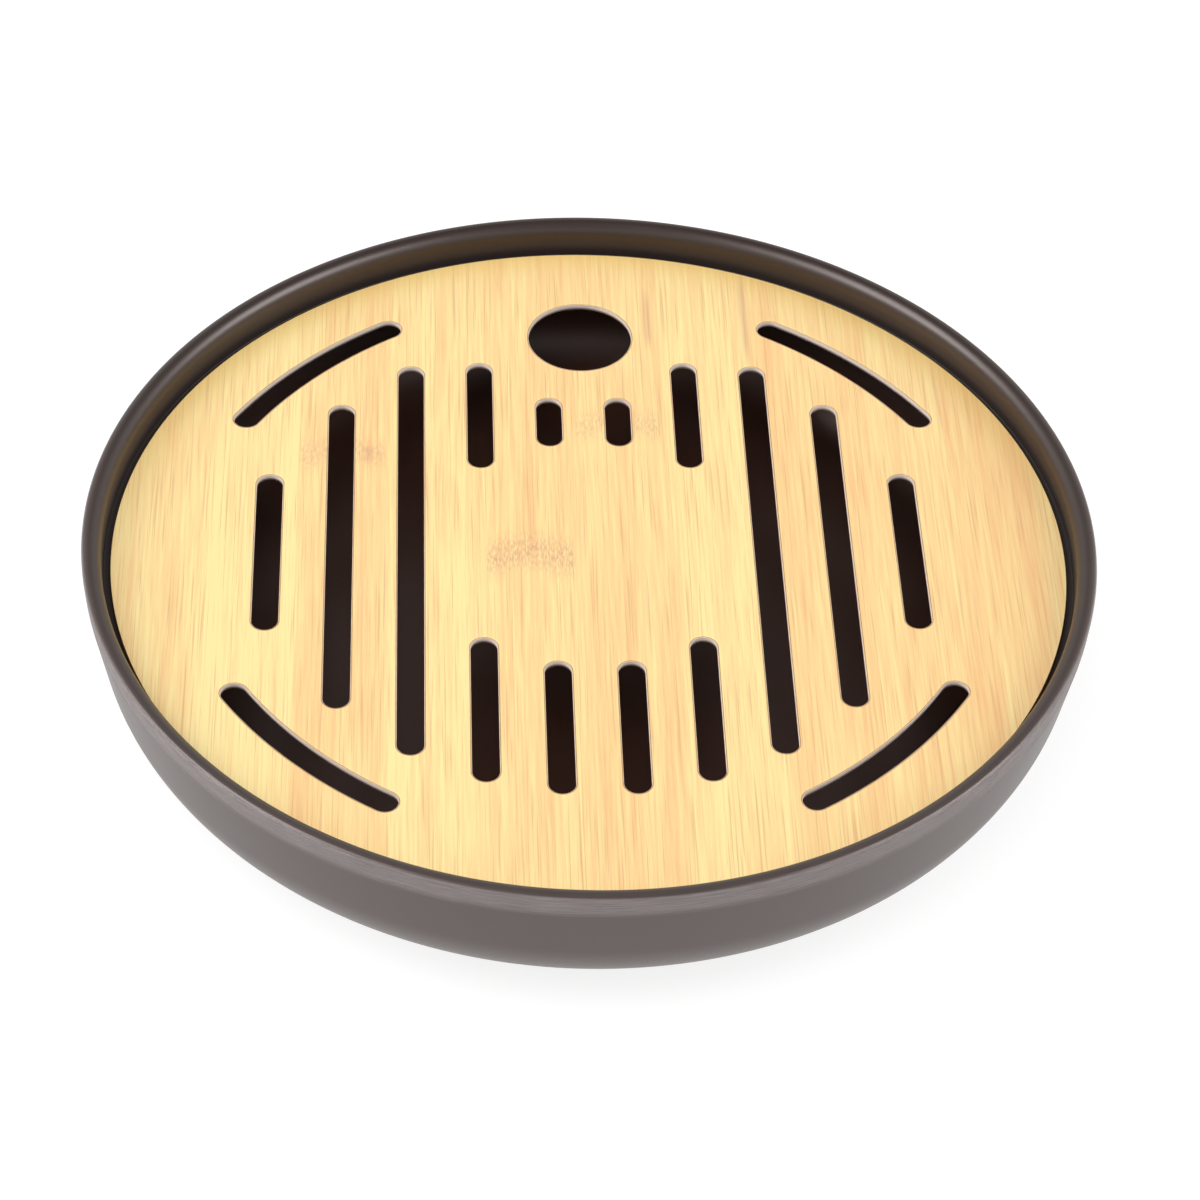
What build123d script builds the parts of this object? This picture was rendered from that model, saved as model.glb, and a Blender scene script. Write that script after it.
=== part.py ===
from build123d import *
from math import radians, tan
import os

# Gongfu tea tray: a moulded bowl with a loose slotted bamboo board lying on its inner ledge.
# Millimetres, +Z up, front towards -Y. The origin is on the table, under the middle of the tray.

# Slotted panel: a round board with straight and curved slots and one finger hole
panel_diameter = 240.0
panel_thickness = 1.5
panel_edge_bevel = 0.3
slot_width = 6.7
curved_slot_count = 4
curved_slot_inset = 19.0
curved_slot_first_bearing = 45.0
curved_slot_bend_radius = 117.0
curved_slot_half_turn = 12.8
finger_hole_diameter = 27.5
finger_hole_inset = 35.5

# Straight slots, one row for each mirrored pair: its distance from the middle line,
# its front end and its back end, as shares of the panel's radius
straight_slot_shares = (
    (0.075, -0.711, -0.336),
    (0.075, 0.336, 0.493),
    (0.225, -0.677, -0.266),
    (0.225, 0.265, 0.612),
    (0.375, -0.602, 0.600),
    (0.525, -0.469, 0.469),
    (0.675, -0.240, 0.240),
)

# Seat of the panel: the ledge inside the basin and the slightly flared wall above it
panel_clearance = 2.0
ledge_width = 5.0
panel_drop = 8.2
recess_flare = 0.3

# Basin: lip with a steeper band below it, leaning side, wide bend into the base, and the reservoir inside
lip_width = 4.7
lip_inner_bevel = 2.0
lip_outer_bevel = 0.6
rim_band_height = 5.7
rim_band_lean = 4.0
side_lean = 10.0
base_bend_radius = 27.3
floor_thickness = 3.8
reservoir_depth = 30.0
reservoir_draft = 2.0
reservoir_bevel = 11.0

# Underside: a flat foot ring round a shallow recess, with pockets for the rubber pads
foot_ring_width = 20.0
foot_recess_depth = 1.0
pad_count = 4
pad_first_bearing = 45.0
pad_diameter = 12.0
pad_clearance = 0.15
pad_pocket_depth = 0.8
pad_stand_out = 1.5

# Cuts run past the faces that they open by this much
overrun = 1.0

# Levels, from the table up
foot_level = pad_stand_out
floor_level = foot_level + floor_thickness
ledge_level = floor_level + reservoir_depth
panel_top = ledge_level + panel_thickness
lip_top = panel_top + panel_drop

# Radii, from the middle of the panel outwards
panel_radius = panel_diameter / 2
seat_radius = panel_radius + panel_clearance
reservoir_radius = seat_radius - ledge_width
lip_inner_radius = seat_radius + recess_flare
lip_outer_radius = lip_inner_radius + lip_width


def across_bend(bend_radius, corner_angle):
    """Length that a bend takes from each of the two lines that meet at the corner."""
    return bend_radius / tan(radians(corner_angle) / 2)


# The side leans in a little on the rim band and more below it, and bends into the base
rim_band_foot = lip_top - rim_band_height
rim_band_foot_radius = lip_outer_radius - rim_band_height * tan(radians(rim_band_lean))
side_toe_radius = rim_band_foot_radius - (rim_band_foot - foot_level) * tan(radians(side_lean))
foot_ring_outer = side_toe_radius - across_bend(base_bend_radius, 90 + side_lean)
foot_ring_inner = foot_ring_outer - foot_ring_width
pad_circle_radius = (foot_ring_outer + foot_ring_inner) / 2

# The reservoir's wall draws in towards the floor
floor_radius = reservoir_radius - reservoir_depth * tan(radians(reservoir_draft))

# The curved slots bend less than the panel's edge, so their centre of bend lies past its middle
curved_slot_offset = panel_radius - curved_slot_inset - curved_slot_bend_radius
finger_hole_y = panel_radius - finger_hole_inset


def corner_of(section, place):
    """The corner of a flat section that lies nearest to a place."""
    return section.vertices().sort_by_distance(place)[0]


def basin_section():
    """Half section of the basin: underside, side, rim band, lip, wall, ledge and reservoir."""
    side_toe = (side_toe_radius, foot_level)
    lip_outer = (lip_outer_radius, lip_top)
    lip_inner = (lip_inner_radius, lip_top)
    floor_edge = (floor_radius, floor_level)
    corners = (
        (0, foot_level + foot_recess_depth),
        (foot_ring_inner, foot_level + foot_recess_depth),
        (foot_ring_inner + foot_recess_depth, foot_level),
        side_toe,
        (rim_band_foot_radius, rim_band_foot),
        lip_outer,
        lip_inner,
        (seat_radius, panel_top),
        (seat_radius, ledge_level),
        (reservoir_radius, ledge_level),
        floor_edge,
        (0, floor_level),
    )
    section = make_face(Polyline(corners, close=True))
    bevels = (
        (lip_outer, lip_outer_bevel),
        (lip_inner, lip_inner_bevel),
        (floor_edge, reservoir_bevel),
    )
    for corner, size in bevels:
        section = chamfer(corner_of(section, corner), size)
    section = fillet(corner_of(section, side_toe), base_bend_radius)
    return Plane.XZ * section


def pad_places():
    """The middle of each pad, on the circle halfway across the foot ring."""
    return PolarLocations(pad_circle_radius, pad_count, start_angle=pad_first_bearing)


def basin():
    """The moulded bowl, turned from its half section, with the pads' pockets sunk into its foot ring."""
    bowl = revolve(basin_section(), Axis.Z)
    pocket_radius = pad_diameter / 2 + pad_clearance
    pocket_height = pad_pocket_depth + overrun
    pocket = Pos(0, 0, foot_level - overrun) * extrude(Circle(pocket_radius), pocket_height)
    return bowl - [place * pocket for place in pad_places()]


def straight_slots():
    """The mirrored pairs of straight slots, each with half-round ends."""
    slots = []
    for column_share, front_share, back_share in straight_slot_shares:
        length = (back_share - front_share) * panel_radius
        middle = (back_share + front_share) / 2 * panel_radius
        for side in (-1, 1):
            place = Pos(side * column_share * panel_radius, middle)
            slots.append(place * SlotOverall(length, slot_width, rotation=90))
    return slots


def curved_slots():
    """Slots that bend along the panel's edge, spaced evenly round it."""
    middle_line = CenterArc((0, 0), curved_slot_bend_radius, -curved_slot_half_turn, 2 * curved_slot_half_turn)
    slot = Pos(curved_slot_offset) * SlotArc(middle_line, slot_width)
    step = 360 / curved_slot_count
    bearings = [curved_slot_first_bearing + number * step for number in range(curved_slot_count)]
    return [Rot(Z=bearing) * slot for bearing in bearings]


def slotted_panel():
    """The round board with its slots and finger hole cut through, and its upper rim bevelled."""
    finger_hole = Pos(0, finger_hole_y) * Circle(finger_hole_diameter / 2)
    outline = Circle(panel_radius) - straight_slots() - curved_slots() - finger_hole
    board = Pos(0, 0, ledge_level) * extrude(outline, panel_thickness)
    top_face = board.faces().sort_by(Axis.Z)[-1]
    return chamfer(top_face.outer_wire().edges(), panel_edge_bevel)


def foot_pad():
    """One rubber pad, a plain disc that stands out of its pocket."""
    return extrude(Circle(pad_diameter / 2), pad_stand_out + pad_pocket_depth)


os.makedirs("parts", exist_ok=True)
export_step(basin(), "parts/basin.step")
export_step(slotted_panel(), "parts/slotted_panel.step")
for number, place in enumerate(pad_places(), start=1):
    export_step(place * foot_pad(), f"parts/foot_pad_{number}.step")
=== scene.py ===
import math

import bpy
import bmesh
from mathutils import Matrix, Vector


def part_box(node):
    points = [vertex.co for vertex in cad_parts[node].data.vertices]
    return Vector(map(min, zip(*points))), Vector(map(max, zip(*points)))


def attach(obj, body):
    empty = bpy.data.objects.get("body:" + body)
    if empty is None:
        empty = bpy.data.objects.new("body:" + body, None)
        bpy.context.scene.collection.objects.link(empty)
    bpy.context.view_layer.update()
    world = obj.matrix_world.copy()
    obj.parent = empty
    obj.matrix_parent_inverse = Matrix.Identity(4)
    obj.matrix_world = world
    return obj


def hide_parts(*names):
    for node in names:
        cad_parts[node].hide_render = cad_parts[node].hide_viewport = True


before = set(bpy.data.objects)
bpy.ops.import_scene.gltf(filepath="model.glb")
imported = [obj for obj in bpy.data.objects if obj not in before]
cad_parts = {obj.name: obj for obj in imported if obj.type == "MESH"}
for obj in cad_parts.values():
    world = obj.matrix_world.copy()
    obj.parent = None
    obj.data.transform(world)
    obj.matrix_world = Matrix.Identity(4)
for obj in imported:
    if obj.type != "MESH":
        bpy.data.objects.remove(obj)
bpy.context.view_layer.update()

# Basin
# One bowl of black melamine, pressed in a steel mould and left satin, with a rounded lip and an inner ledge.
# The band below the lip is ground where the mould's flash was. Pockets under the bowl take the rubber pads.

MM = 0.001

basin_low, basin_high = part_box("basin")
panel_low, panel_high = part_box("slotted_panel")
pad_low, pad_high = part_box("foot_pad_1")

panel_radius = panel_high.x
panel_level = panel_high.z
ledge_level = panel_low.z
lip_level = basin_high.z
foot_level = basin_low.z

panel_clearance = 2 * MM
ledge_width = 5 * MM
ledge_foot_round = 0.25 * MM
ledge_edge_round = 0.5 * MM
reservoir_depth = 30 * MM
reservoir_draft = math.radians(2)
reservoir_bend = 17 * MM
recess_flare = 0.3 * MM
lip_width = 4.7 * MM
lip_inner_round = 3.3 * MM
lip_outer_round = 1.2 * MM
rim_band_height = 5.7 * MM
rim_band_lean = math.radians(4)
side_lean = math.radians(10)
side_bend = 16 * MM
base_bend = 27.3 * MM
foot_ring_inner = 77 * MM
foot_recess = 1 * MM
foot_recess_round = 0.8 * MM

seat_radius = panel_radius + panel_clearance
reservoir_radius = seat_radius - ledge_width
floor_level = ledge_level - reservoir_depth
floor_radius = reservoir_radius - reservoir_depth * math.tan(reservoir_draft)
lip_inner_radius = seat_radius + recess_flare
lip_outer_radius = lip_inner_radius + lip_width
rim_band_foot = lip_level - rim_band_height
rim_band_foot_radius = lip_outer_radius - rim_band_height * math.tan(rim_band_lean)
side_toe_radius = rim_band_foot_radius - (rim_band_foot - foot_level) * math.tan(side_lean)

# The basin's half section, from the middle of the underside round to the middle of the reservoir's floor:
# each corner's place across and up, the radius of its bend, and the steps that the bend is drawn in
basin_corners = (
    (0, foot_level + foot_recess, 0, 0),
    (foot_ring_inner, foot_level + foot_recess, foot_recess_round, 4),
    (foot_ring_inner + foot_recess, foot_level, foot_recess_round, 4),
    (side_toe_radius, foot_level, base_bend, 28),
    (rim_band_foot_radius, rim_band_foot, side_bend, 4),
    (lip_outer_radius, lip_level, lip_outer_round, 10),
    (lip_inner_radius, lip_level, lip_inner_round, 16),
    (seat_radius, panel_level, 0, 0),
    (seat_radius, ledge_level, ledge_foot_round, 3),
    (reservoir_radius, ledge_level, ledge_edge_round, 5),
    (floor_radius, floor_level, reservoir_bend, 24),
    (0, floor_level, 0, 0),
)
basin_turns = 288

# A section is turned by sweeping it round a circle of this radius, and is laid out from that circle
sweep_radius = 1.0
pole_gap = 0.01 * MM
sharp_turn = math.radians(40)


def rounded(corners):
    """Points of a line through the corners (across, up, bend radius, steps), with an arc at each bend."""
    points = []
    for number, (across, up, bend, steps) in enumerate(corners):
        here = Vector((across, up))
        if bend == 0:
            points.append(here)
            continue
        back = (Vector(corners[number - 1][:2]) - here).normalized()
        ahead = (Vector(corners[number + 1][:2]) - here).normalized()
        half = back.angle(ahead) / 2
        start = here + back * (bend / math.tan(half))
        centre = here + (back + ahead).normalized() * (bend / math.sin(half))
        spoke = start - centre
        sweep = math.pi - 2 * half
        side = 1 if back.cross(ahead) < 0 else -1
        for step in range(steps + 1):
            turn = Matrix.Rotation(side * sweep * step / steps, 2)
            points.append(centre + turn @ spoke)
    return points


def section_mesh(name, corners):
    """A mesh of one open line through the rounded corners, laid out from the circle of the sweep."""
    points = [(point.x - sweep_radius, -point.y, 0) for point in rounded(corners)]
    edges = [(number, number + 1) for number in range(len(points) - 1)]
    mesh = bpy.data.meshes.new(name)
    mesh.from_pydata(points, edges, [])
    return mesh


def linked(name, data):
    """A new object in the scene, at the origin."""
    made = bpy.data.objects.new(name, data)
    bpy.context.scene.collection.objects.link(made)
    return made


def add(tree, kind, links=None, **settings):
    """One node, with its settings, and its inputs set to values or linked to other nodes' outputs."""
    node = tree.nodes.new(kind)
    for name, value in settings.items():
        setattr(node, name, value)
    for name, value in (links or {}).items():
        if isinstance(value, bpy.types.NodeSocket):
            tree.links.new(value, node.inputs[name])
        else:
            node.inputs[name].default_value = value
    return node


def shape_tree(name, inputs):
    """An empty Geometry Nodes tree with a geometry input, named inputs and a geometry output."""
    tree = bpy.data.node_groups.new(name, "GeometryNodeTree")
    tree.interface.new_socket("Geometry", in_out="INPUT", socket_type="NodeSocketGeometry")
    for label, kind in inputs.items():
        tree.interface.new_socket(label, in_out="INPUT", socket_type="NodeSocket" + kind)
    tree.interface.new_socket("Geometry", in_out="OUTPUT", socket_type="NodeSocketGeometry")
    return tree, add(tree, "NodeGroupInput").outputs


def end_tree(tree, geometry, material, faces=True):
    """The tree's end: instances made real, and the material set on the faces."""
    real = add(tree, "GeometryNodeRealizeInstances", {"Geometry": geometry})
    finished = add(tree, "GeometryNodeSetMaterial", {
        "Geometry": real.outputs["Geometry"], "Material": material, "Selection": faces,
    })
    add(tree, "NodeGroupOutput", {"Geometry": finished.outputs["Geometry"]})
    return tree


def shaped(name, mesh, tree, values):
    """A new piece whose shape the tree makes from the mesh and the values, as a plain mesh."""
    piece = linked(name, mesh)
    modifier = piece.modifiers.new("Shape", "NODES")
    modifier.node_group = tree
    sockets = {item.name: item.identifier for item in tree.interface.items_tree if item.in_out == "INPUT"}
    for label, value in values.items():
        modifier[sockets[label]] = value
    return plain(piece)


def plain(piece):
    """The piece with what its modifiers make as its own mesh, and the modifiers gone."""
    graph = bpy.context.evaluated_depsgraph_get()
    graph.update()
    mesh = bpy.data.meshes.new_from_object(piece.evaluated_get(graph))
    piece.modifiers.clear()
    piece.data = mesh
    mesh.name = piece.name
    return piece


def linear(code):
    """The linear colour of an sRGB hex value, with full cover."""
    shares = [int(code[place:place + 2], 16) / 255 for place in (1, 3, 5)]
    return [s / 12.92 if s <= 0.04045 else ((s + 0.055) / 1.055) ** 2.4 for s in shares] + [1]


def finish_tree(name):
    """A new material with its Principled shader and the object's own coordinates."""
    material = bpy.data.materials.new(name)
    material.use_nodes = True
    tree = material.node_tree
    return material, tree, tree.nodes["Principled BSDF"], add(tree, "ShaderNodeTexCoord").outputs["Object"]


def from_middle(tree, place):
    """How far a place lies from the upright line through the tray's middle."""
    flat = add(tree, "ShaderNodeVectorMath", {0: place, 1: (1, 1, 0)}, operation="MULTIPLY")
    return add(tree, "ShaderNodeVectorMath", {0: flat.outputs["Vector"]}, operation="LENGTH").outputs["Value"]


def within(tree, value, middle, reach, soft):
    """A mask that is 1 where the value is near the middle, and falls to 0 from reach less soft to reach."""
    apart = add(tree, "ShaderNodeMath", {0: value, 1: middle}, operation="SUBTRACT")
    far = add(tree, "ShaderNodeMath", {0: apart.outputs["Value"]}, operation="ABSOLUTE")
    mask = add(tree, "ShaderNodeMapRange", {
        "Value": far.outputs["Value"], "From Min": reach - soft, "From Max": reach, "To Min": 1, "To Max": 0,
    }, interpolation_type="SMOOTHSTEP")
    return mask.outputs["Result"]


def overlap(tree, first, *others):
    """Masks and strengths multiplied, so that the result is strong only where all of them are."""
    for other in others:
        first = add(tree, "ShaderNodeMath", {0: first, 1: other}, operation="MULTIPLY").outputs["Value"]
    return first


def coated(tree, under, *coats):
    """A colour with each coat (mask, colour) laid over it in turn. A colour is hex or a node's output."""
    under_socket, over_socket, made_socket = 6, 7, 2
    for mask, over in coats:
        mix = add(tree, "ShaderNodeMix", {"Factor": mask}, data_type="RGBA")
        for socket, colour in ((mix.inputs[under_socket], under), (mix.inputs[over_socket], over)):
            if isinstance(colour, str):
                socket.default_value = linear(colour)
            else:
                tree.links.new(colour, socket)
        under = mix.outputs[made_socket]
    return under


def melamine_satin():
    """Black melamine from a satin mould: warm near black with soft reflections, painted shade in the recess,
    on the lip and in the reservoir, and a paler ground band that is partly painted sheen.
    """
    material, tree, shader, place = finish_tree("melamine_satin_black")
    parts = add(tree, "ShaderNodeSeparateXYZ", {"Vector": place}).outputs
    radius = from_middle(tree, place)
    height = parts["Z"]

    # The moulded skin's tone and polish drift in wide, faint clouds
    cloud_size = 20 * MM
    cloud = add(tree, "ShaderNodeTexNoise", {"Vector": place, "Scale": 1 / cloud_size, "Detail": 4})
    body = coated(tree, "#392d29", (cloud.outputs["Fac"], "#443733"))

    # Lip, ledge and the wall between them: coloured darker than the side, and darkest down in the corner by
    # the ledge, as painted shade; the corner is also duller
    seat_middle, seat_reach, seat_soft = seat_radius - 3 * MM, 5 * MM, 1 * MM
    corner_reach, corner_soft = 4 * MM, 2 * MM
    dull_reach, dull_soft = 7 * MM, 3 * MM
    recess_reach, recess_soft = 10 * MM, 2 * MM
    lip_height, lip_height_soft = 2 * MM, 1 * MM
    lip_reach, lip_soft = 3.9 * MM, 1.2 * MM
    seat = within(tree, radius, seat_middle, seat_reach, seat_soft)
    corner = overlap(tree, seat, within(tree, height, ledge_level, corner_reach, corner_soft))
    dull_corner = overlap(tree, seat, within(tree, height, ledge_level, dull_reach, dull_soft))
    recess = overlap(tree, seat, within(tree, height, ledge_level, recess_reach, recess_soft))
    lip_top = within(tree, height, lip_level, lip_height, lip_height_soft)
    lip = overlap(tree, lip_top, within(tree, radius, seat_radius, lip_reach, lip_soft))
    inner = add(tree, "ShaderNodeMath", {0: recess, 1: lip}, operation="MAXIMUM").outputs["Value"]

    # Reservoir: coloured browner than the rest, a painted shade for the dim inside under the board
    reservoir_shade_edge = 1 * MM
    reservoir = within(tree, radius, 0, reservoir_radius, reservoir_shade_edge)

    # Ground band: scratches run round the rim, so it is rougher and paler than the moulded skin; its pale
    # tone is partly the sanded skin's own grey and partly painted sheen for the floor and lamps it reflects.
    # Real ones are a few hundredths of a millimetre wide, and are drawn coarser so that they show
    scratch_length = 9 * MM
    scratch_width = 0.4 * MM
    scratch_depth = 0.5 * MM
    bearing = add(tree, "ShaderNodeMath", {0: parts["Y"], 1: parts["X"]}, operation="ARCTAN2")
    along = add(tree, "ShaderNodeMath", {
        0: bearing.outputs["Value"], 1: lip_outer_radius / scratch_length,
    }, operation="MULTIPLY")
    level = add(tree, "ShaderNodeMath", {0: height, 1: 1 / scratch_width}, operation="MULTIPLY")
    scratch_place = add(tree, "ShaderNodeCombineXYZ", {
        "X": along.outputs["Value"], "Y": level.outputs["Value"],
    })
    scratches = add(tree, "ShaderNodeTexNoise", {
        "Vector": scratch_place.outputs["Vector"], "Scale": 1, "Detail": 3,
    })
    band_depth, band_depth_soft = 1.3 * MM, 0.5 * MM
    band_top_low, band_top_high = lip_level - 0.5 * MM, lip_level - 0.2 * MM
    band_fade = 1.6 * MM
    ground_low, ground_high = 0.3, 0.7
    outside = within(tree, radius, lip_outer_radius, band_depth, band_depth_soft)
    below_lip = add(tree, "ShaderNodeMapRange", {
        "Value": height, "From Min": band_top_low, "From Max": band_top_high, "To Min": 1, "To Max": 0,
    })
    above_wall = add(tree, "ShaderNodeMapRange", {
        "Value": height, "From Min": rim_band_foot - band_fade, "From Max": rim_band_foot + band_fade,
    }, interpolation_type="SMOOTHSTEP")
    band = overlap(tree, outside, below_lip.outputs["Result"], above_wall.outputs["Result"])
    spread = add(tree, "ShaderNodeMapRange", {
        "Value": scratches.outputs["Fac"], "From Min": ground_low, "From Max": ground_high,
    })
    # Partly painted sheen: the band's grey is paler than the sanded skin alone
    ground = coated(tree, "#6b6463", (spread.outputs["Result"], "#847c7b"))

    # The inner and corner coats are painted shade; the band coat is partly painted sheen
    tone = coated(
        tree, body, (inner, "#24150f"), (corner, "#1c100c"), (reservoir, "#44291f"), (band, ground),
    )

    # Satin where it is moulded, and nearly matt on the ground band and down in the corner
    satin_low, satin_high, dull_roughness = 0.36, 0.42, 0.6
    polish = add(tree, "ShaderNodeMapRange", {
        "Value": cloud.outputs["Fac"], "To Min": satin_low, "To Max": satin_high,
    })
    dull = add(tree, "ShaderNodeMath", {0: band, 1: dull_corner}, operation="MAXIMUM")
    roughness = add(tree, "ShaderNodeMix", {
        "Factor": dull.outputs["Value"], "A": polish.outputs["Result"], "B": dull_roughness,
    }, data_type="FLOAT")

    # The mould's blasted grain, about 0.1 mm in the real skin, is drawn coarser so that it shows
    dimple_size = 0.5 * MM
    dimple_depth = 0.02 * MM
    dimples = add(tree, "ShaderNodeTexNoise", {"Vector": place, "Scale": 1 / dimple_size, "Detail": 2})
    dimpled = add(tree, "ShaderNodeBump", {
        "Height": dimples.outputs["Fac"], "Strength": 0.1, "Distance": dimple_depth,
    })
    bump = add(tree, "ShaderNodeBump", {
        "Height": scratches.outputs["Fac"], "Strength": band, "Distance": scratch_depth,
        "Normal": dimpled.outputs["Normal"],
    })
    tree.links.new(tone, shader.inputs["Base Color"])
    tree.links.new(roughness.outputs[0], shader.inputs["Roughness"])
    tree.links.new(bump.outputs["Normal"], shader.inputs["Normal"])
    shader.inputs["IOR"].default_value = 1.6
    shader.inputs["Specular Tint"].default_value = linear("#fff5f1")
    return material


def turned_tree():
    """A half section swept round the upright line at the origin, closed at its poles and smooth."""
    tree, given = shape_tree("Turned section", {
        "Turns": "Int", "Sweep radius": "Float", "Pole gap": "Float", "Material": "Material",
    })
    section = add(tree, "GeometryNodeMeshToCurve", {"Mesh": given["Geometry"]})
    circle = add(tree, "GeometryNodeCurvePrimitiveCircle", {
        "Resolution": given["Turns"], "Radius": given["Sweep radius"],
    })
    upright = add(tree, "GeometryNodeSetCurveNormal", {"Curve": circle.outputs["Curve"]}, mode="Z_UP")
    swept = add(tree, "GeometryNodeCurveToMesh", {
        "Curve": upright.outputs["Curve"], "Profile Curve": section.outputs["Curve"],
    })
    facing_out = add(tree, "GeometryNodeFlipFaces", {"Mesh": swept.outputs["Mesh"]})
    closed = add(tree, "GeometryNodeMergeByDistance", {
        "Geometry": facing_out.outputs["Mesh"], "Distance": given["Pole gap"],
    })
    smooth = add(tree, "GeometryNodeSetShadeSmooth", {"Geometry": closed.outputs["Geometry"]})
    return end_tree(tree, smooth.outputs["Geometry"], given["Material"])


turned = turned_tree()
melamine_basin = shaped("melamine_basin", section_mesh("basin_section", basin_corners), turned, {
    "Turns": basin_turns, "Sweep radius": sweep_radius, "Pole gap": pole_gap, "Material": melamine_satin(),
})

# The pads' pockets are cut by four upright cylinders that reach well below the foot
pad_count = 4
pad_first_bearing = math.radians(45)
pad_clearance = 0.15 * MM
pad_middle = (pad_low + pad_high) / 2
pad_circle = pad_middle.xy.length
pad_radius = (pad_high.x - pad_low.x) / 2
cutter_depth = 10 * MM
cutter_sides = 48
cutter_cones = bmesh.new()
for number in range(pad_count):
    pad_bearing = pad_first_bearing + number * math.tau / pad_count
    cutter_middle = Vector((
        pad_circle * math.cos(pad_bearing), pad_circle * math.sin(pad_bearing), pad_high.z - cutter_depth / 2,
    ))
    bmesh.ops.create_cone(
        cutter_cones, cap_ends=True, segments=cutter_sides, radius1=pad_radius + pad_clearance,
        radius2=pad_radius + pad_clearance, depth=cutter_depth, matrix=Matrix.Translation(cutter_middle),
    )
cutter_mesh = bpy.data.meshes.new("pocket_cutters")
cutter_cones.to_mesh(cutter_mesh)
cutter_cones.free()
cutter = linked("pocket_cutters", cutter_mesh)
pockets = melamine_basin.modifiers.new("Pockets", "BOOLEAN")
pockets.object = cutter
pockets.solver = "EXACT"
plain(melamine_basin)
bpy.data.objects.remove(cutter)
melamine_basin.data.set_sharp_from_angle(angle=sharp_turn)
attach(melamine_basin, "basin")
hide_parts("basin")

# Slotted panel
# A thin lacquered board, glued up from bamboo strips that run front to back, and cut and slotted on a router.
# The cut walls are pale pinkish bare bamboo, partly painted light, and their upper and lower edges are eased.
# It lies loose on the basin's ledge.

panel_thickness = panel_high.z - panel_low.z
slot_width = 6.7 * MM
curved_slot_count = 4
curved_slot_first_bearing = math.radians(45)
curved_slot_bend = 117 * MM
curved_slot_half_turn = math.radians(12.8)
curved_slot_inset = 19 * MM
curved_slot_length = 2 * curved_slot_bend * curved_slot_half_turn + slot_width
finger_hole_radius = 13.75 * MM
finger_hole_inset = 35.5 * MM

# Each mirrored pair of straight slots: its column, front end and back end, as shares of the panel's radius
straight_slot_shares = (
    (0.075, -0.711, -0.336),
    (0.075, 0.336, 0.493),
    (0.225, -0.677, -0.266),
    (0.225, 0.265, 0.612),
    (0.375, -0.602, 0.600),
    (0.525, -0.469, 0.469),
    (0.675, -0.240, 0.240),
)


def slot_middles():
    """A mesh with one point in the middle of each straight slot, and each slot's length on its point."""
    places, lengths = [], []
    for column, front, back in straight_slot_shares:
        for side in (-1, 1):
            places.append((side * column * panel_radius, (front + back) / 2 * panel_radius, 0))
            lengths.append((back - front) * panel_radius)
    mesh = bpy.data.meshes.new("slot_middles")
    mesh.from_pydata(places, [], [])
    mesh.attributes.new("slot_length", "FLOAT", "POINT").data.foreach_set("value", lengths)
    return mesh


def even_bearings(tree, count, first):
    """The bearing of each point by its number, spaced evenly round the middle from the first."""
    step = add(tree, "ShaderNodeMath", {0: math.tau, 1: count}, operation="DIVIDE")
    number = add(tree, "GeometryNodeInputIndex")
    bearing = add(tree, "ShaderNodeMath", {
        0: number.outputs["Index"], 1: step.outputs["Value"], 2: first,
    }, operation="MULTIPLY_ADD")
    return bearing.outputs["Value"]


def copies_on(tree, points, shape, **layout):
    """Real copies of a shape on the points, each turned or scaled as the layout says."""
    copies = add(tree, "GeometryNodeInstanceOnPoints", {"Points": points, "Instance": shape, **layout})
    real = add(tree, "GeometryNodeRealizeInstances", {"Geometry": copies.outputs["Instances"]})
    return real.outputs["Geometry"]


def bent_slot(tree, line, given):
    """A long straight slot bent sideways about its own centre, and moved out to its place from the middle."""
    bend_step = 0.6 * MM
    fine = add(tree, "GeometryNodeResampleCurve", {"Curve": line, "Length": bend_step}, mode="LENGTH")
    position = add(tree, "GeometryNodeInputPosition")
    here = add(tree, "ShaderNodeSeparateXYZ", {"Vector": position.outputs["Position"]})
    spoke = add(tree, "ShaderNodeMath", {0: here.outputs["X"], 1: given["Curved bend"]}, operation="ADD")
    turn = add(tree, "ShaderNodeMath", {0: here.outputs["Y"], 1: given["Curved bend"]}, operation="DIVIDE")
    along = add(tree, "ShaderNodeMath", {0: turn.outputs["Value"]}, operation="COSINE")
    across = add(tree, "ShaderNodeMath", {0: turn.outputs["Value"]}, operation="SINE")
    out = add(tree, "ShaderNodeMath", {
        0: spoke.outputs["Value"], 1: along.outputs["Value"],
    }, operation="MULTIPLY")
    side = add(tree, "ShaderNodeMath", {
        0: spoke.outputs["Value"], 1: across.outputs["Value"],
    }, operation="MULTIPLY")
    gap = add(tree, "ShaderNodeMath", {
        0: given["Curved middle"], 1: given["Curved bend"],
    }, operation="SUBTRACT")
    moved = add(tree, "ShaderNodeMath", {0: out.outputs["Value"], 1: gap.outputs["Value"]}, operation="ADD")
    bent_place = add(tree, "ShaderNodeCombineXYZ", {
        "X": moved.outputs["Value"], "Y": side.outputs["Value"],
    })
    bent = add(tree, "GeometryNodeSetPosition", {
        "Geometry": fine.outputs["Curve"], "Position": bent_place.outputs["Vector"],
    })
    return bent.outputs["Geometry"]


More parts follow.
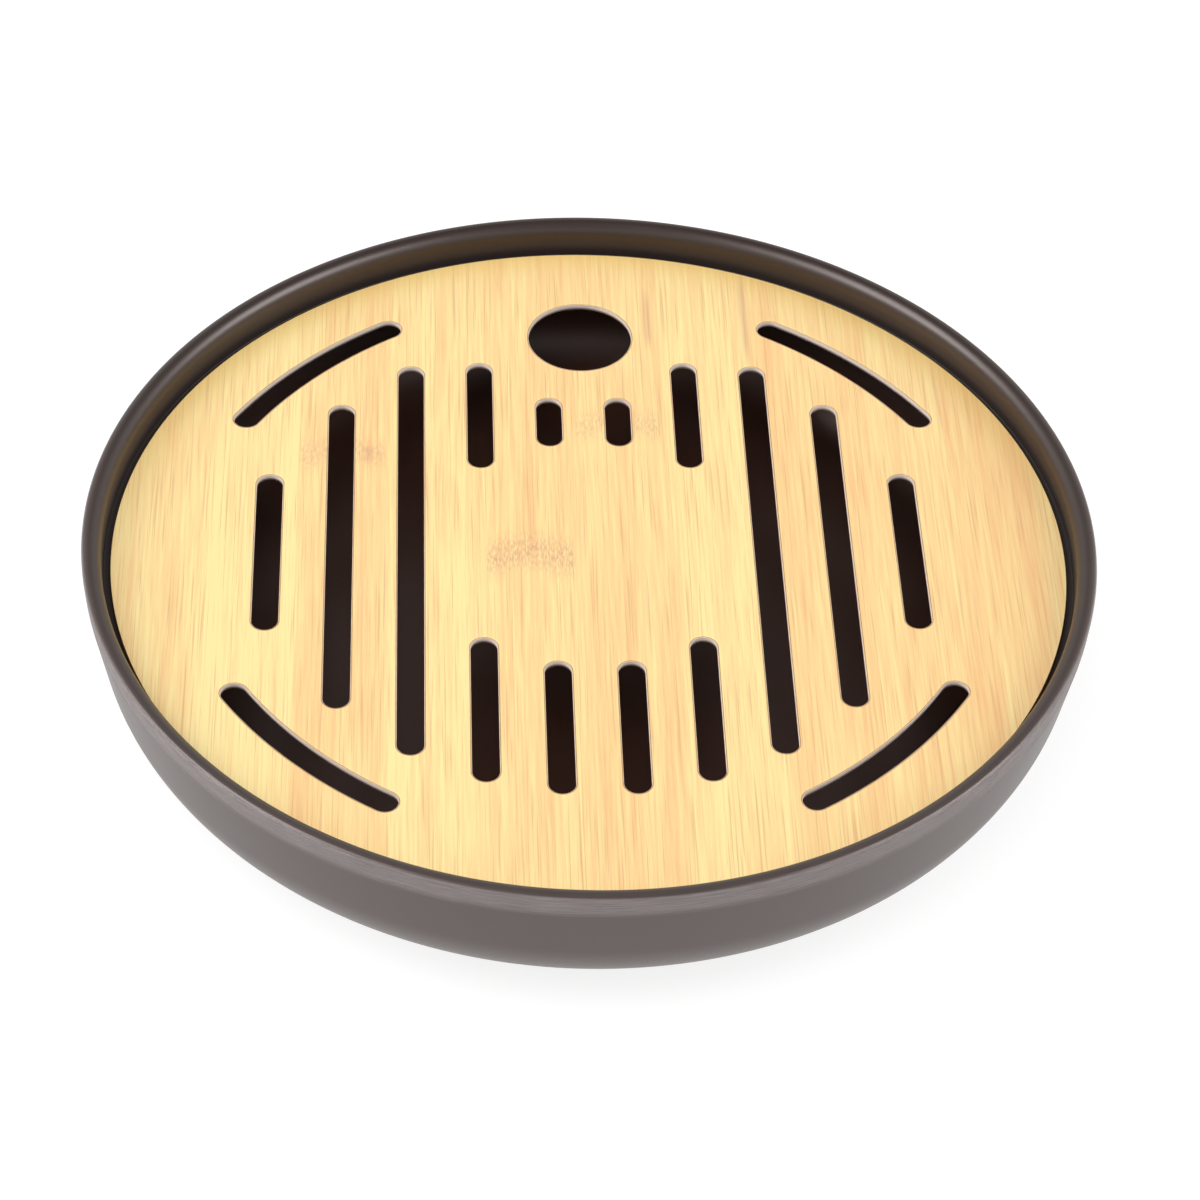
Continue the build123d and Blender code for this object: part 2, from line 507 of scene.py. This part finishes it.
def panel_tree():
    """Slot outlines on their places, filled within the rim, and the filled face thickened into a board."""
    # A slot end's two arcs are just under half the width in radius, so that they don't meet in one point
    nearly_half = 0.4999
    end_steps = 12
    hole_sides = 96
    rim_sides = 360
    seam_gap = 0.001 * MM
    tree, given = shape_tree("Slotted board", {
        "Radius": "Float", "Thickness": "Float", "Level": "Float", "Slot width": "Float",
        "Curved slots": "Int", "First bearing": "Float", "Curved length": "Float", "Curved bend": "Float",
        "Curved middle": "Float", "Hole radius": "Float", "Hole place": "Float",
        "Face": "Material", "Cut wall": "Material",
    })
    unit = add(tree, "GeometryNodeCurvePrimitiveQuadrilateral", {"Width": 1, "Height": 1}).outputs["Curve"]
    half_width = add(tree, "ShaderNodeMath", {0: given["Slot width"], 1: nearly_half}, operation="MULTIPLY")

    # Straight slots on their points, and one long slot for the curved ones, all with half-round ends
    length = add(tree, "GeometryNodeInputNamedAttribute", {"Name": "slot_length"}, data_type="FLOAT")
    size = add(tree, "ShaderNodeCombineXYZ", {
        "X": given["Slot width"], "Y": length.outputs["Attribute"], "Z": 1,
    })
    straight = copies_on(tree, given["Geometry"], unit, Scale=size.outputs["Vector"])

    long_size = add(tree, "ShaderNodeCombineXYZ", {
        "X": given["Slot width"], "Y": given["Curved length"], "Z": 1,
    })
    long_box = add(tree, "GeometryNodeTransform", {"Geometry": unit, "Scale": long_size.outputs["Vector"]})
    straight_lines, long_line = [
        add(tree, "GeometryNodeFilletCurve", {
            "Curve": line, "Count": end_steps, "Radius": half_width.outputs["Value"], "Limit Radius": True,
        }, mode="POLY").outputs["Curve"]
        for line in (straight, long_box.outputs["Geometry"])
    ]

    # The long slot is bent, and copied to evenly spaced places round the board
    bearing = even_bearings(tree, given["Curved slots"], given["First bearing"])
    facing = add(tree, "ShaderNodeCombineXYZ", {"Z": bearing})
    middles = add(tree, "GeometryNodePoints", {"Count": given["Curved slots"]})
    curved_lines = copies_on(
        tree, middles.outputs["Points"], bent_slot(tree, long_line, given), Rotation=facing.outputs["Vector"],
    )

    hole = add(tree, "GeometryNodeCurvePrimitiveCircle", {
        "Resolution": hole_sides, "Radius": given["Hole radius"],
    })
    hole_place = add(tree, "ShaderNodeCombineXYZ", {"Y": given["Hole place"]})
    hole_line = add(tree, "GeometryNodeTransform", {
        "Geometry": hole.outputs["Curve"], "Translation": hole_place.outputs["Vector"],
    })
    rim = add(tree, "GeometryNodeCurvePrimitiveCircle", {"Resolution": rim_sides, "Radius": given["Radius"]})

    # All outlines together are filled, laid on the ledge and thickened
    lines = add(tree, "GeometryNodeJoinGeometry")
    for line in (rim.outputs["Curve"], hole_line.outputs["Geometry"], straight_lines, curved_lines):
        tree.links.new(line, lines.inputs["Geometry"])
    filled = add(tree, "GeometryNodeFillCurve", {"Curve": lines.outputs["Geometry"]}, mode="NGONS")
    level = add(tree, "ShaderNodeCombineXYZ", {"Z": given["Level"]})
    laid = add(tree, "GeometryNodeTransform", {
        "Geometry": filled.outputs["Mesh"], "Translation": level.outputs["Vector"],
    })
    faced = add(tree, "GeometryNodeSetMaterial", {
        "Geometry": laid.outputs["Geometry"], "Material": given["Face"],
    })
    under = add(tree, "GeometryNodeFlipFaces", {"Mesh": faced.outputs["Geometry"]})
    raised = add(tree, "GeometryNodeExtrudeMesh", {
        "Mesh": faced.outputs["Geometry"], "Offset Scale": given["Thickness"], "Individual": False,
    }, mode="FACES")
    both = add(tree, "GeometryNodeJoinGeometry")
    for skin in (under.outputs["Mesh"], raised.outputs["Mesh"]):
        tree.links.new(skin, both.inputs["Geometry"])
    board = add(tree, "GeometryNodeMergeByDistance", {
        "Geometry": both.outputs["Geometry"], "Distance": seam_gap,
    })
    return end_tree(tree, board.outputs["Geometry"], given["Cut wall"], raised.outputs["Side"])


# Strips of the board: their width, the first glue line's place, and each strip's tone from left to right,
# where 0 is straw yellow and 1 is pinkish tan
strip_width = 23.8 * MM
first_glue_line = -122 * MM
strip_tones = (0.30, 0.12, 0.45, 0.27, 0.42, 0.45, 0.24, 0.52, 0.48, 0.61, 0.5)

# Nodes of the culms: middle across, middle along, half width, half length, strength
culm_nodes = (
    (-14.9 * MM, -1.5 * MM, 11.9 * MM, 11 * MM, 0.8),
    (8.9 * MM, 49 * MM, 11.9 * MM, 9 * MM, 0.5),
    (-62.5 * MM, 38 * MM, 11.9 * MM, 9 * MM, 0.55),
)

# Dark bundles of fibres: middle across, middle along, half width, half length, strength
dark_bundles = (
    (44.4 * MM, 94 * MM, 1.8 * MM, 24 * MM, 0.45),
    (18.2 * MM, 92 * MM, 2.0 * MM, 14 * MM, 0.4),
    (-56 * MM, 37 * MM, 2.2 * MM, 4 * MM, 0.4),
)


def streaks(tree, place, width, length, **detail):
    """Noise in streaks of a width and length that run front to back, as fibres do."""
    stretched = add(tree, "ShaderNodeMapping", {"Vector": place, "Scale": (1 / width, 1 / length, 1)})
    return add(tree, "ShaderNodeTexNoise", {
        "Vector": stretched.outputs["Vector"], "Scale": 1, **detail,
    }).outputs["Fac"]


def bamboo_face():
    """Lacquered bamboo: strips with fine fibres along them, speckled culm nodes and a few dark bundles."""
    material, tree, shader, place = finish_tree("bamboo_lacquered_face")
    parts = add(tree, "ShaderNodeSeparateXYZ", {"Vector": place}).outputs

    # Tone of the strip
    board_share = add(tree, "ShaderNodeMapRange", {
        "Value": parts["X"], "From Min": first_glue_line,
        "From Max": first_glue_line + strip_width * len(strip_tones), "To Min": 0, "To Max": 1,
    })
    strips = add(tree, "ShaderNodeValToRGB", {"Fac": board_share.outputs["Result"]})
    strips.color_ramp.interpolation = "CONSTANT"
    stops = strips.color_ramp.elements
    for number, strip_tone in enumerate(strip_tones):
        stop = stops[0] if number == 0 else stops.new(number / len(strip_tones))
        stop.color = (strip_tone, strip_tone, strip_tone, 1)
    stops.remove(stops[-1])

    # Fibres, in thin lines and in wider bands. Real bundles are about 0.4 mm wide, and are drawn coarser
    fibre_width, fibre_length, fibre_contrast = 1 * MM, 34 * MM, 0.42
    band_width, band_length, band_contrast = 6 * MM, 160 * MM, 0.3
    noise_low, noise_high = 0.25, 0.75
    fibres = streaks(tree, place, fibre_width, fibre_length, Detail=3, Roughness=0.65)
    bands = streaks(tree, place, band_width, band_length, Detail=2)
    fine = add(tree, "ShaderNodeMapRange", {
        "Value": fibres, "From Min": noise_low, "From Max": noise_high,
        "To Min": -fibre_contrast, "To Max": fibre_contrast,
    })
    wide = add(tree, "ShaderNodeMapRange", {
        "Value": bands, "From Min": noise_low, "From Max": noise_high,
        "To Min": -band_contrast, "To Max": band_contrast,
    })
    grain = add(tree, "ShaderNodeMath", {
        0: fine.outputs["Result"], 1: wide.outputs["Result"],
    }, operation="ADD")
    tone = add(tree, "ShaderNodeMath", {
        0: strips.outputs["Color"], 1: grain.outputs["Value"],
    }, operation="ADD")
    wood = coated(tree, "#ffe7a2", (tone.outputs["Value"], "#f6c184"))

    # Sparse dark lines: vascular bundles that the planer cut along
    line_width, line_length, line_strength = 0.45 * MM, 40 * MM, 0.6
    line_low, line_high = 0.55, 0.7
    lines = add(tree, "ShaderNodeMapRange", {
        "Value": streaks(tree, place, line_width, line_length, Detail=2),
        "From Min": line_low, "From Max": line_high, "To Min": 0, "To Max": line_strength,
    })
    wood = coated(tree, wood, (lines.outputs["Result"], "#dca474"))

    # Culm nodes: short broken dashes along the fibres, in a band across the strip that arches a little.
    # Real marks differ in size from node to node, and are drawn alike and finer
    dash_width, dash_length = 0.4 * MM, 2 * MM
    dash_low, dash_high = 0.35, 0.7
    node_arch, node_edge = 3 * MM, 2 * MM
    dashes = add(tree, "ShaderNodeMapRange", {
        "Value": streaks(tree, place, dash_width, dash_length, Detail=1),
        "From Min": dash_low, "From Max": dash_high,
    })
    for across, along, half_width, half_length, strength in culm_nodes:
        arched = add(tree, "ShaderNodeMath", {
            0: within(tree, parts["X"], across, half_width, half_width), 1: -node_arch, 2: parts["Y"],
        }, operation="MULTIPLY_ADD")
        inside = within(tree, parts["X"], across, half_width, node_edge)
        near = within(tree, arched.outputs["Value"], along - node_arch / 2, half_length, half_length)
        mark = overlap(tree, inside, near, dashes.outputs["Result"], strength)
        wood = coated(tree, wood, (mark, "#d59c7c"))

    bundle_end = 0.6
    for across, along, half_width, half_length, strength in dark_bundles:
        inside = within(tree, parts["X"], across, half_width, half_width)
        near = within(tree, parts["Y"], along, half_length, bundle_end * half_length)
        wood = coated(tree, wood, (overlap(tree, inside, near, strength), "#d6a07c"))

    # Towards the rim at the back the face is coloured yellower, a painted tint for the light that the basin's
    # back wall throws on it
    rim_reach, back_reach, rim_strength = 8 * MM, 60 * MM, 0.6
    at_rim = add(tree, "ShaderNodeMapRange", {
        "Value": from_middle(tree, place), "From Min": panel_radius - rim_reach, "From Max": panel_radius,
        "To Min": 0, "To Max": rim_strength,
    })
    at_back = add(tree, "ShaderNodeMapRange", {"Value": parts["Y"], "From Min": 0, "From Max": back_reach})
    painted_back_tint = overlap(tree, at_rim.outputs["Result"], at_back.outputs["Result"])
    wood = coated(tree, wood, (painted_back_tint, "#fad27c"))

    fibre_depth = 0.05 * MM
    fibre_bump = add(tree, "ShaderNodeBump", {"Height": fibres, "Strength": 0.15, "Distance": fibre_depth})
    tree.links.new(wood, shader.inputs["Base Color"])
    tree.links.new(fibre_bump.outputs["Normal"], shader.inputs["Normal"])
    shader.inputs["Roughness"].default_value = 0.42
    shader.inputs["IOR"].default_value = 1.5
    return material


def bamboo_cut_wall():
    """Bare bamboo where the router cut through: pinkish and matt, painted near white for the light on it, and
    painted dark at its foot for the shade there.
    """
    grain_size = 0.8 * MM
    foot_shade_low = ledge_level + 0.2 * MM
    foot_shade_high = ledge_level + 0.8 * MM
    material, tree, shader, place = finish_tree("bamboo_cut_wall")
    grain = add(tree, "ShaderNodeTexNoise", {"Vector": place, "Scale": 1 / grain_size, "Detail": 3})
    parts = add(tree, "ShaderNodeSeparateXYZ", {"Vector": place}).outputs
    # Partly painted light: bare bamboo is pinkish, and these tones are set near white to stand for the light
    # on the wall
    pale = coated(tree, "#ffe6d8", (grain.outputs["Fac"], "#fff6ee"))
    # Painted shade: the wall turns dark brown at its foot, for the shade at the bottom of the narrow cuts
    above = add(tree, "ShaderNodeMapRange", {
        "Value": parts["Z"], "From Min": foot_shade_low, "From Max": foot_shade_high,
    })
    tone = coated(tree, "#4a3226", (above.outputs["Result"], pale))
    tree.links.new(tone, shader.inputs["Base Color"])
    shader.inputs["Roughness"].default_value = 0.7
    return material


def bamboo_eased_edge():
    """Sanded bamboo edge round each cut: paler than the face, with the lacquer thin on it."""
    grain_size = 1.2 * MM
    material, tree, shader, place = finish_tree("bamboo_eased_edge")
    grain = add(tree, "ShaderNodeTexNoise", {"Vector": place, "Scale": 1 / grain_size, "Detail": 2})
    tone = coated(tree, "#f0cfae", (grain.outputs["Fac"], "#f9e2c6"))
    tree.links.new(tone, shader.inputs["Base Color"])
    shader.inputs["Roughness"].default_value = 0.75
    return material


def bamboo_brown_line_and_rim_shade():
    """Thin brown line beside each eased edge; on the outer rim's wall the same colour is painted shade for
    the dark gap by the basin.
    """
    grain_size = 2 * MM
    material, tree, shader, place = finish_tree("bamboo_brown_line_and_rim_shade")
    grain = add(tree, "ShaderNodeTexNoise", {"Vector": place, "Scale": 1 / grain_size, "Detail": 2})
    tone = coated(tree, "#9c6a42", (grain.outputs["Fac"], "#c4925e"))
    tree.links.new(tone, shader.inputs["Base Color"])
    shader.inputs["Roughness"].default_value = 0.45
    return material


bamboo_panel = shaped("bamboo_slotted_panel", slot_middles(), panel_tree(), {
    "Radius": panel_radius, "Thickness": panel_thickness, "Level": panel_low.z, "Slot width": slot_width,
    "Curved slots": curved_slot_count, "First bearing": curved_slot_first_bearing,
    "Curved length": curved_slot_length, "Curved bend": curved_slot_bend,
    "Curved middle": panel_radius - curved_slot_inset, "Hole radius": finger_hole_radius,
    "Hole place": panel_radius - finger_hole_inset, "Face": bamboo_face(), "Cut wall": bamboo_cut_wall(),
})
finishes = bamboo_panel.data.materials
finishes.append(bamboo_eased_edge())
finishes.append(bamboo_brown_line_and_rim_shade())
cut_wall_slot = finishes.find("bamboo_cut_wall")
eased_slot = finishes.find("bamboo_eased_edge")
brown_line_slot = finishes.find("bamboo_brown_line_and_rim_shade")

# The brown line is a narrow ring of the top face beside each edge, and easing then takes its outer part.
# The cuts are told from the outer rim by how far they reach from the middle
edge_ease = 0.12 * MM
edge_ease_steps = 3
edge_turn = math.radians(60)
facing_up = 0.5
brown_line_width = 0.22 * MM
cuts_reach = panel_radius - 2 * MM
board = bmesh.new()
board.from_mesh(bamboo_panel.data)
top_faces = [face for face in board.faces if face.normal.z > facing_up]
top_edge = bmesh.ops.inset_region(
    board, faces=top_faces, thickness=edge_ease + brown_line_width, use_boundary=True,
)
for face in top_edge["faces"]:
    if face.calc_center_median().xy.length < cuts_reach:
        face.material_index = brown_line_slot

# The cuts' edges are eased, and the outer rim is left sharp
eased = board.edges.layers.float.new("bevel_weight_edge")
for edge in board.edges:
    edge_middle = (edge.verts[0].co + edge.verts[1].co) / 2
    if edge.calc_face_angle(0) > edge_turn and edge_middle.xy.length < cuts_reach:
        edge[eased] = 1
board.to_mesh(bamboo_panel.data)
board.free()
ease = bamboo_panel.modifiers.new("Eased edges", "BEVEL")
ease.width = edge_ease
ease.segments = edge_ease_steps
ease.use_clamp_overlap = False
ease.limit_method = "WEIGHT"
ease.material = eased_slot
plain(bamboo_panel)

# The outer rim's wall takes the brown line's colour all over: painted shade for the dark gap beside the basin
for polygon in bamboo_panel.data.polygons:
    if polygon.material_index == cut_wall_slot and polygon.center.xy.length > cuts_reach:
        polygon.material_index = brown_line_slot
eased_turn = math.radians(12)
bamboo_panel.data.shade_smooth()
bamboo_panel.data.set_sharp_from_angle(angle=eased_turn)
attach(bamboo_panel, "panel")
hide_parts("slotted_panel")

# Foot pads
# Four small discs of black rubber, stamped from sheet and glued into the pockets under the basin.
# They stand a little proud of the foot ring, so that the tray doesn't slide on the table.

pad_turns = 48
pad_foot_round = 0.6 * MM
pad_top_round = 0.2 * MM
pad_corners = (
    (0, pad_low.z, 0, 0),
    (pad_radius, pad_low.z, pad_foot_round, 6),
    (pad_radius, pad_high.z, pad_top_round, 3),
    (0, pad_high.z, 0, 0),
)


def rubber_matt():
    """Black rubber sheet: matt, a little dusty, with a fine grain."""
    grain_size = 0.3 * MM
    grain_depth = 0.03 * MM
    material, tree, shader, place = finish_tree("rubber_matt_black")
    grain = add(tree, "ShaderNodeTexNoise", {"Vector": place, "Scale": 1 / grain_size, "Detail": 3})
    tone = coated(tree, "#262524", (grain.outputs["Fac"], "#33312f"))
    bump = add(tree, "ShaderNodeBump", {
        "Height": grain.outputs["Fac"], "Strength": 0.3, "Distance": grain_depth,
    })
    tree.links.new(tone, shader.inputs["Base Color"])
    tree.links.new(bump.outputs["Normal"], shader.inputs["Normal"])
    shader.inputs["Roughness"].default_value = 0.8
    return material


def pads_tree():
    """Copies of one pad, spaced evenly round a circle."""
    tree, given = shape_tree("Foot pads", {
        "Pads": "Int", "Circle": "Float", "First bearing": "Float", "Material": "Material",
    })
    points = add(tree, "GeometryNodePoints", {"Count": given["Pads"]})
    bearing = even_bearings(tree, given["Pads"], given["First bearing"])
    across = add(tree, "ShaderNodeMath", {0: bearing}, operation="COSINE")
    along = add(tree, "ShaderNodeMath", {0: bearing}, operation="SINE")
    spoke = add(tree, "ShaderNodeCombineXYZ", {"X": across.outputs["Value"], "Y": along.outputs["Value"]})
    place = add(tree, "ShaderNodeVectorMath", {
        0: spoke.outputs["Vector"], "Scale": given["Circle"],
    }, operation="SCALE")
    spaced = add(tree, "GeometryNodeSetPosition", {
        "Geometry": points.outputs["Points"], "Position": place.outputs["Vector"],
    })
    copies = add(tree, "GeometryNodeInstanceOnPoints", {
        "Points": spaced.outputs["Geometry"], "Instance": given["Geometry"],
    })
    return end_tree(tree, copies.outputs["Instances"], given["Material"])


pad_rubber = rubber_matt()
one_pad = shaped("rubber_pad", section_mesh("pad_section", pad_corners), turned, {
    "Turns": pad_turns, "Sweep radius": sweep_radius, "Pole gap": pole_gap, "Material": pad_rubber,
})
rubber_pads = shaped("rubber_foot_pads", one_pad.data, pads_tree(), {
    "Pads": pad_count, "Circle": pad_circle, "First bearing": pad_first_bearing, "Material": pad_rubber,
})
bpy.data.objects.remove(one_pad)
rubber_pads.data.set_sharp_from_angle(angle=sharp_turn)
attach(rubber_pads, "basin")
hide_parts("foot_pad_1", "foot_pad_2", "foot_pad_3", "foot_pad_4")

# Studio
# A white floor that runs out of view, a white surround, and soft lights overhead and at both sides.
# Two more soft lights show only in the gloss. The camera stands in front of the tray, a little to its left.

white = (1, 1, 1, 1)


def seen_straight(tree):
    """A mask that is 1 for what the camera sees, straight or in a reflection or through glass."""
    path = add(tree, "ShaderNodeLightPath").outputs
    mask = path["Is Camera Ray"]
    for ray in ("Is Glossy Ray", "Is Transmission Ray"):
        mask = add(tree, "ShaderNodeMath", {0: mask, 1: path[ray]}, operation="MAXIMUM").outputs["Value"]
    return mask


def floor_paint():
    """White floor that is seen as white, darkens a little in the tray's shadow, and is clear from below."""
    material = bpy.data.materials.new("floor_white")
    material.use_nodes = True
    tree = material.node_tree
    tree.nodes.remove(tree.nodes["Principled BSDF"])

    # What lights the tray: white paint, with a little glow that stands for the rest of the bright room
    paint = add(tree, "ShaderNodeBsdfDiffuse", {"Color": linear("#f2f2f2")})
    bounce = add(tree, "ShaderNodeEmission", {"Color": white, "Strength": 0.35})
    lit = add(tree, "ShaderNodeAddShader", {0: paint.outputs["BSDF"], 1: bounce.outputs["Emission"]})

    # What is seen: mostly glow, and grey paint that takes the shadow. It is a little brighter in the gloss
    seen_glow = 0.83
    gloss_glow = 0.12
    shade = add(tree, "ShaderNodeBsdfDiffuse", {"Color": linear("#909090")})
    path = add(tree, "ShaderNodeLightPath")
    strength = add(tree, "ShaderNodeMath", {
        0: path.outputs["Is Glossy Ray"], 1: gloss_glow, 2: seen_glow,
    }, operation="MULTIPLY_ADD")
    glow = add(tree, "ShaderNodeEmission", {"Color": white, "Strength": strength.outputs["Value"]})
    seen = add(tree, "ShaderNodeAddShader", {0: shade.outputs["BSDF"], 1: glow.outputs["Emission"]})

    above = add(tree, "ShaderNodeMixShader", {
        0: seen_straight(tree), 1: lit.outputs["Shader"], 2: seen.outputs["Shader"],
    })
    side = add(tree, "ShaderNodeNewGeometry")
    clear = add(tree, "ShaderNodeBsdfTransparent")
    both = add(tree, "ShaderNodeMixShader", {
        0: side.outputs["Backfacing"], 1: above.outputs["Shader"], 2: clear.outputs["BSDF"],
    })
    tree.links.new(both.outputs["Shader"], tree.nodes["Material Output"].inputs["Surface"])
    return material


floor_reach = 3.0
floor_corners = (
    (-floor_reach, -floor_reach, pad_low.z),
    (floor_reach, -floor_reach, pad_low.z),
    (floor_reach, floor_reach, pad_low.z),
    (-floor_reach, floor_reach, pad_low.z),
)
floor_mesh = bpy.data.meshes.new("floor")
floor_mesh.from_pydata(floor_corners, [], [(0, 1, 2, 3)])
floor_mesh.materials.append(floor_paint())
floor = linked("floor", floor_mesh)

# The surround is seen as white up to the ceiling, which is darker, and lights the tray evenly
surround_light = 0.5
ceiling_glow = 0.3
ceiling_low = 0.58
ceiling_high = 0.76
world = bpy.data.worlds.new("studio")
world.use_nodes = True
bpy.context.scene.world = world
sky = world.node_tree
sky_direction = add(sky, "ShaderNodeTexCoord").outputs["Generated"]
sky_parts = add(sky, "ShaderNodeSeparateXYZ", {"Vector": sky_direction})
ceiling = add(sky, "ShaderNodeMapRange", {
    "Value": sky_parts.outputs["Z"], "From Min": ceiling_low, "From Max": ceiling_high,
    "To Min": 1, "To Max": ceiling_glow,
}, interpolation_type="SMOOTHSTEP")
sky_strength = add(sky, "ShaderNodeMix", {
    "Factor": seen_straight(sky), "A": surround_light, "B": ceiling.outputs["Result"],
}, data_type="FLOAT")
sky.nodes["Background"].inputs["Color"].default_value = white
sky.links.new(sky_strength.outputs[0], sky.nodes["Background"].inputs["Strength"])

# Soft lights: name, place, size, power, whether it lights the tray, whether it shows in the gloss
soft_lights = (
    ("overhead_light", (-0.4, -0.5, 1.38), 1.0, 8.4, True, False),
    ("side_light_right", (1.15, 0.15, 0.6), 0.9, 6, True, False),
    ("side_light_left", (-1.15, 0.1, 0.6), 0.9, 7, True, False),
    ("softbox_right", (0.98, -0.17, 0.83), 0.75, 15, False, True),
    ("softbox_left", (-0.94, -0.09, 0.9), 0.9, 20, False, True),
)
for name, place, size, power, lights, shows in soft_lights:
    light = bpy.data.lights.new(name, "AREA")
    light.shape = "SQUARE"
    light.size = size
    light.energy = power
    lamp = linked(name, light)
    lamp.location = place
    lamp.rotation_euler = (-lamp.location).to_track_quat("-Z", "Y").to_euler()
    lamp.visible_diffuse = lights
    lamp.visible_glossy = shows

# The camera, fitted to the photograph: its place, its turns, and its focal length in the picture's pixels
camera_place = Vector((-41.6, -751.9, 722.4)) * MM
camera_yaw = 0.0594
camera_pitch = 0.7507
camera_roll = 0.0387
picture_side = 1200
focal_pixels = 4041

level_ahead = Vector((math.sin(camera_yaw), math.cos(camera_yaw), 0))
level_right = Vector((math.cos(camera_yaw), -math.sin(camera_yaw), 0))
ahead = math.cos(camera_pitch) * level_ahead - Vector((0, 0, math.sin(camera_pitch)))
level_up = level_right.cross(ahead)
right = math.cos(camera_roll) * level_right + math.sin(camera_roll) * level_up
up = math.cos(camera_roll) * level_up - math.sin(camera_roll) * level_right
camera_data = bpy.data.cameras.new("camera")
camera_data.sensor_width = 36
camera_data.lens = focal_pixels / picture_side * camera_data.sensor_width
camera_data.clip_start = 0.01
camera = linked("camera", camera_data)
camera.matrix_world = Matrix.Translation(camera_place) @ Matrix((right, up, -ahead)).transposed().to_4x4()
bpy.context.scene.camera = camera
bpy.context.scene.view_settings.view_transform = "Standard"
